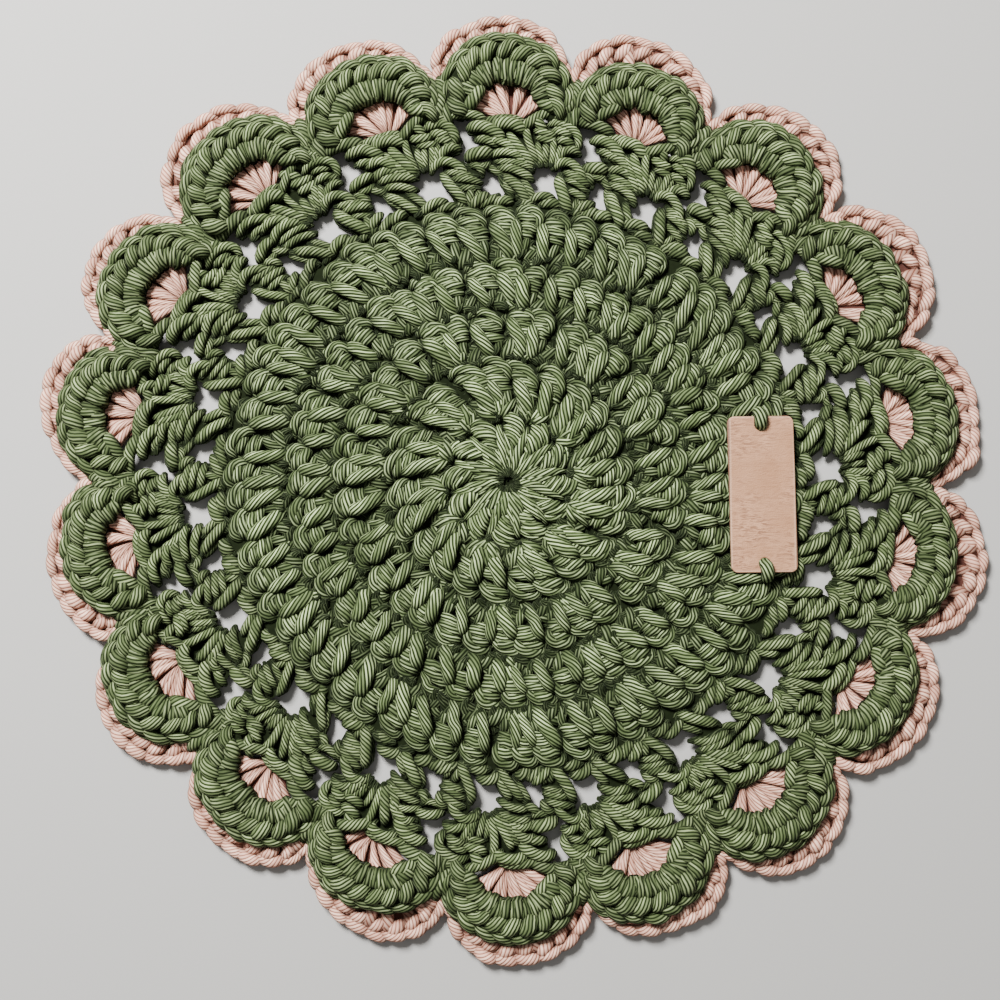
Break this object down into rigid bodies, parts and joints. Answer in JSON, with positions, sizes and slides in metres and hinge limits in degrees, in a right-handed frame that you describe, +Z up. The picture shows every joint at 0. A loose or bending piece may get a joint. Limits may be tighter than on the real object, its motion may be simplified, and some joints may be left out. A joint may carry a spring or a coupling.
{
  "type": "crocheted round doily",
  "caption": "Round crocheted cotton doily with an openwork round and a two-layer scalloped edge, raised arches over fans, with a bare leather label sewn on.",
  "frame": {"origin": "middle of the doily's footprint, on the surface that it rests on", "axes": "+Z up, through the thickness of the flat cloth; +X towards the side with the leather label, along the label's width; +Y along the label's length"},
  "size_m": [0.3046, 0.3066, 0.009],
  "materials": {
    "green_cotton": "sage green worsted cotton yarn, matt with a faint sheen on its strands",
    "pink_cotton": "dusty pink worsted cotton yarn, matt with a faint sheen on its strands",
    "tan_leather": "smooth natural tan leather, darker cut edge, bare of marks"
  },
  "bodies": {
    "root": {"green_cloth": "green_cotton", "pink_fans": "pink_cotton", "leather_label": "tan_leather"}
  },
  "joints": []
}
